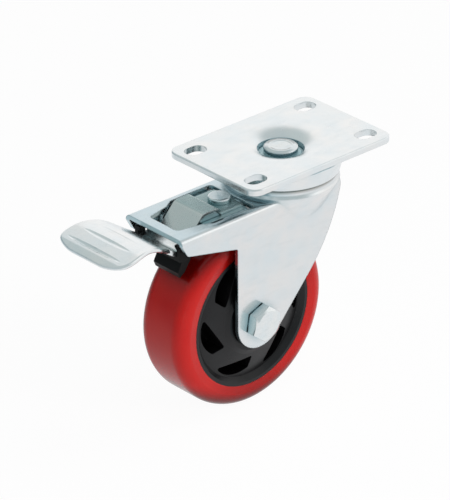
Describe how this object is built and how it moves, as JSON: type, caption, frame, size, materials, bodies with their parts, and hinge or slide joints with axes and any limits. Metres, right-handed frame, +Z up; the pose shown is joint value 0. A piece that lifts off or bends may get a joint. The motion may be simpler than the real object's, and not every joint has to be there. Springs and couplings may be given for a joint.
{
  "type": "swivel castor",
  "caption": "Plate-mounted swivel castor: zinc-plated pressed fork on a ball-race head, red-tyred wheel on a black core, and a steel pedal that brakes the wheel and locks the swivel.",
  "frame": {"origin": "where the swivel axis meets the mounting face of the top plate", "axes": "+Z up out of the mounting face along the swivel axis; the wheel trails and the pedal points towards -X; the axle bolt's head is at -Y"},
  "size_m": [0.1797, 0.0665, 0.132],
  "materials": {
    "zinc": "bright zinc plating",
    "bearing_steel": "polished",
    "spring_steel": "plated",
    "red_tread": "satin",
    "black_moulding": "satin"
  },
  "bodies": {
    "plate": {"top_plate": "zinc", "upper_race_cup": "zinc", "kingpin": "zinc", "kingpin_collar": "zinc", "lower_race": "zinc", "lock_ring": "zinc", "kingpin_nut": "zinc"},
    "fork": {"fork": "zinc", "upper_balls": "bearing_steel", "lower_balls": "bearing_steel", "dust_seal": "black_moulding", "brake_bracket": "zinc", "pedal_pin": "zinc", "leaf_spring": "spring_steel", "spring_rivet": "zinc", "axle_bolt": "zinc", "axle_washer": "zinc", "axle_nut": "zinc", "axle_sleeve": "zinc", "bearing_inner_races": "bearing_steel"},
    "wheel": {"tyre": "red_tread", "wheel_core": "black_moulding", "bearing_outer_races": "bearing_steel", "bearing_balls": "bearing_steel", "bearing_shields": "zinc"},
    "pedal": {"pedal": "zinc", "brake_shoe": "black_moulding", "lock_tongue": "spring_steel", "tongue_rivets": "zinc"}
  },
  "joints": [
    {"name": "swivel", "type": "hinge", "parent": "plate", "child": "fork", "pos_m": [0, 0, 0], "axis": [0, 0, 1], "continuous": true},
    {"name": "wheel_spin", "type": "hinge", "parent": "fork", "child": "wheel", "pos_m": [-0.034, 0, -0.082], "axis": [0, 1, 0], "continuous": true},
    {"name": "pedal_tilt", "type": "hinge", "parent": "fork", "child": "pedal", "pos_m": [-0.062, 0, -0.0257], "axis": [0, 1, 0], "range_deg": [-12.3, 0]}
  ]
}
